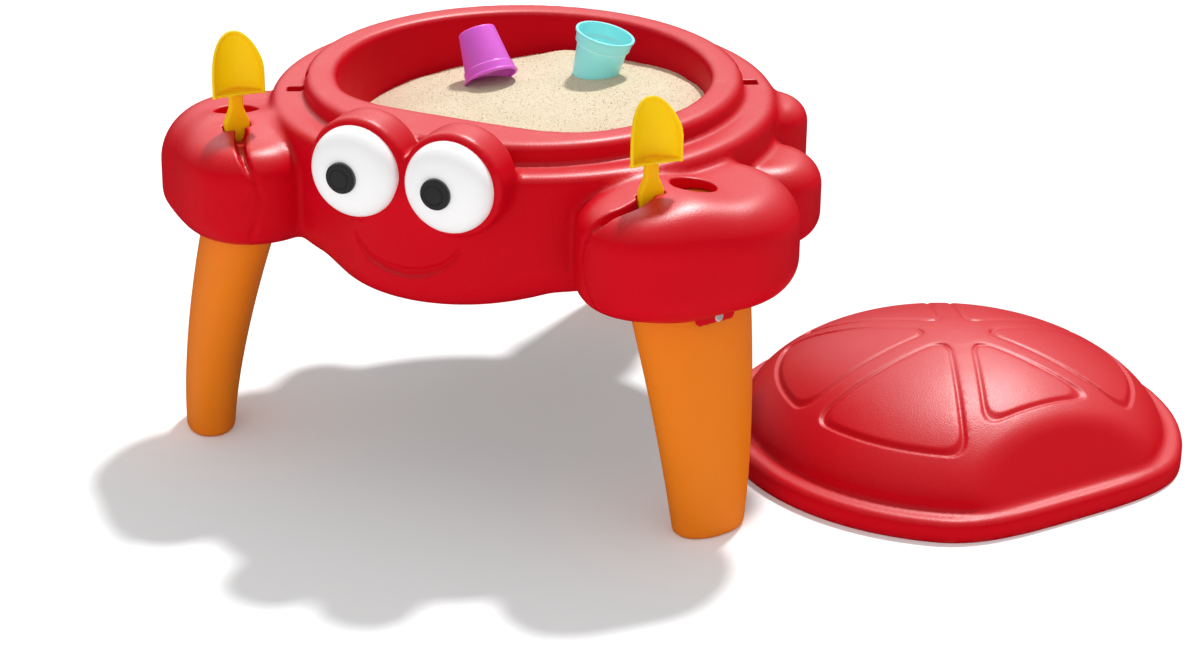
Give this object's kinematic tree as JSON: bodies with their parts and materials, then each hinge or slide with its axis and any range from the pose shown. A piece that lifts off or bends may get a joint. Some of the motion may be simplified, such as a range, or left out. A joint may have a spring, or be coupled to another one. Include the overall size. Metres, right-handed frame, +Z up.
{
  "type": "sand table with cover",
  "caption": "Crab-shaped toddler sand table on three legs, with a round sand basin, a domed lift-off cover, toy cups and shovels.",
  "frame": {"origin": "on the floor under the centre of the round basin", "axes": "+Z up, the crab's face looks along -Y, +X is towards the cover lying on the floor"},
  "size_m": [1.2574, 0.8209, 0.553],
  "materials": {
    "red_plastic": "moulded polyethylene, fine grain, satin",
    "cover_red": "moulded polyethylene, fine grain, satin",
    "orange_plastic": "moulded polyethylene, satin",
    "eye_white": "gloss",
    "pupil_black": "gloss",
    "yellow_plastic": "satin gloss",
    "blue_plastic": "satin gloss",
    "purple_plastic": "satin gloss",
    "sand": "loose dry play sand",
    "screw_steel": "zinc plated"
  },
  "bodies": {
    "table": {"crab_body": "red_plastic", "eye_white_left": "eye_white", "eye_white_right": "eye_white", "pupil_left": "pupil_black", "pupil_right": "pupil_black", "leg_front_left": "orange_plastic", "leg_front_right": "orange_plastic", "leg_rear": "orange_plastic", "leg_screws": "screw_steel", "sand_fill": "sand"},
    "cover": {"lid": "cover_red"},
    "left_shovel": {"shovel_left": "yellow_plastic"},
    "right_shovel": {"shovel_right": "yellow_plastic"},
    "blue_cup": {"cup_blue": "blue_plastic"},
    "purple_cup": {"cup_purple": "purple_plastic"}
  },
  "joints": [
    {"name": "cover_lift", "type": "slide", "parent": "table", "child": "cover", "axis": [0.6, 0, 0.8], "range_m": [0, 0.4]},
    {"name": "left_shovel_pull", "type": "slide", "parent": "table", "child": "left_shovel", "axis": [0, 0, 1], "range_m": [0, 0.12]},
    {"name": "right_shovel_pull", "type": "slide", "parent": "table", "child": "right_shovel", "axis": [0, 0, 1], "range_m": [0, 0.12]},
    {"name": "blue_cup_lift", "type": "slide", "parent": "table", "child": "blue_cup", "axis": [0.2246, 0.051, 0.9731], "range_m": [0, 0.12]},
    {"name": "purple_cup_lift", "type": "slide", "parent": "table", "child": "purple_cup", "axis": [-0.4893, 0.3503, 0.7986], "range_m": [0, 0.12]}
  ]
}
